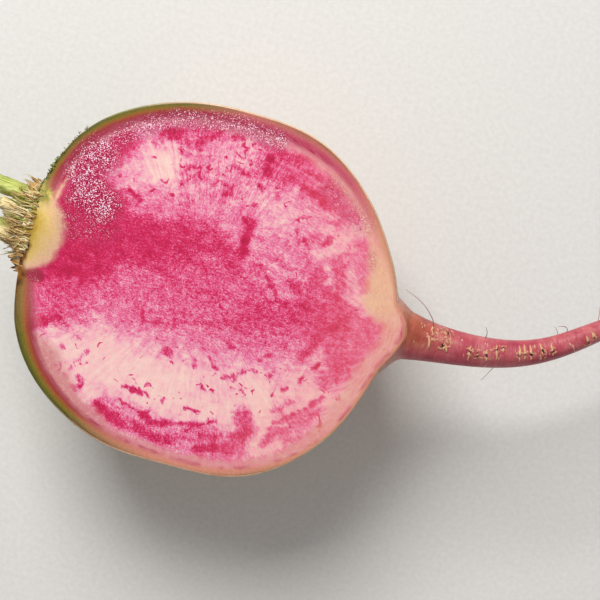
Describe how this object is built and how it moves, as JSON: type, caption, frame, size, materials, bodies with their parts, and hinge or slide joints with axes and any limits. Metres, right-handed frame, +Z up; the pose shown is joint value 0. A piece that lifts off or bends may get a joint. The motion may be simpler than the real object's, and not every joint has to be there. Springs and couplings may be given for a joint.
{
  "type": "halved daikon radish",
  "caption": "Round pink-fleshed daikon radish cut lengthwise, lying on its skin with the cut face up, with its whole tap root and trimmed leaf stalks.",
  "frame": {"origin": "centre of the small flat spot that the root rests on, below the bulb's widest section", "axes": "+Z up, out of the cut face; +X along the root from its crown to its tap root; +Y to its left"},
  "size_m": [0.1738, 0.0779, 0.046],
  "materials": {
    "radish_root": "moist cut flesh, mottled magenta, pink and cream, inside a thin skin that is green at the crown, cream below and rose on the tap root",
    "green_stalk": "fresh ribbed leaf stalk, satin",
    "pale_stalk": "pale fibrous leaf stalk, matte",
    "dry_stalk": "dried brown leaf stalk, matte"
  },
  "bodies": {
    "root": {"root": "radish_root", "leaf_stalk_01": "green_stalk", "leaf_stalk_02": "pale_stalk", "leaf_stalk_03": "dry_stalk", "leaf_stalk_04": "pale_stalk", "leaf_stalk_05": "dry_stalk", "leaf_stalk_06": "green_stalk", "leaf_stalk_07": "dry_stalk", "leaf_stalk_08": "pale_stalk", "leaf_stalk_09": "green_stalk", "leaf_stalk_10": "dry_stalk", "leaf_stalk_11": "pale_stalk"}
  },
  "joints": []
}
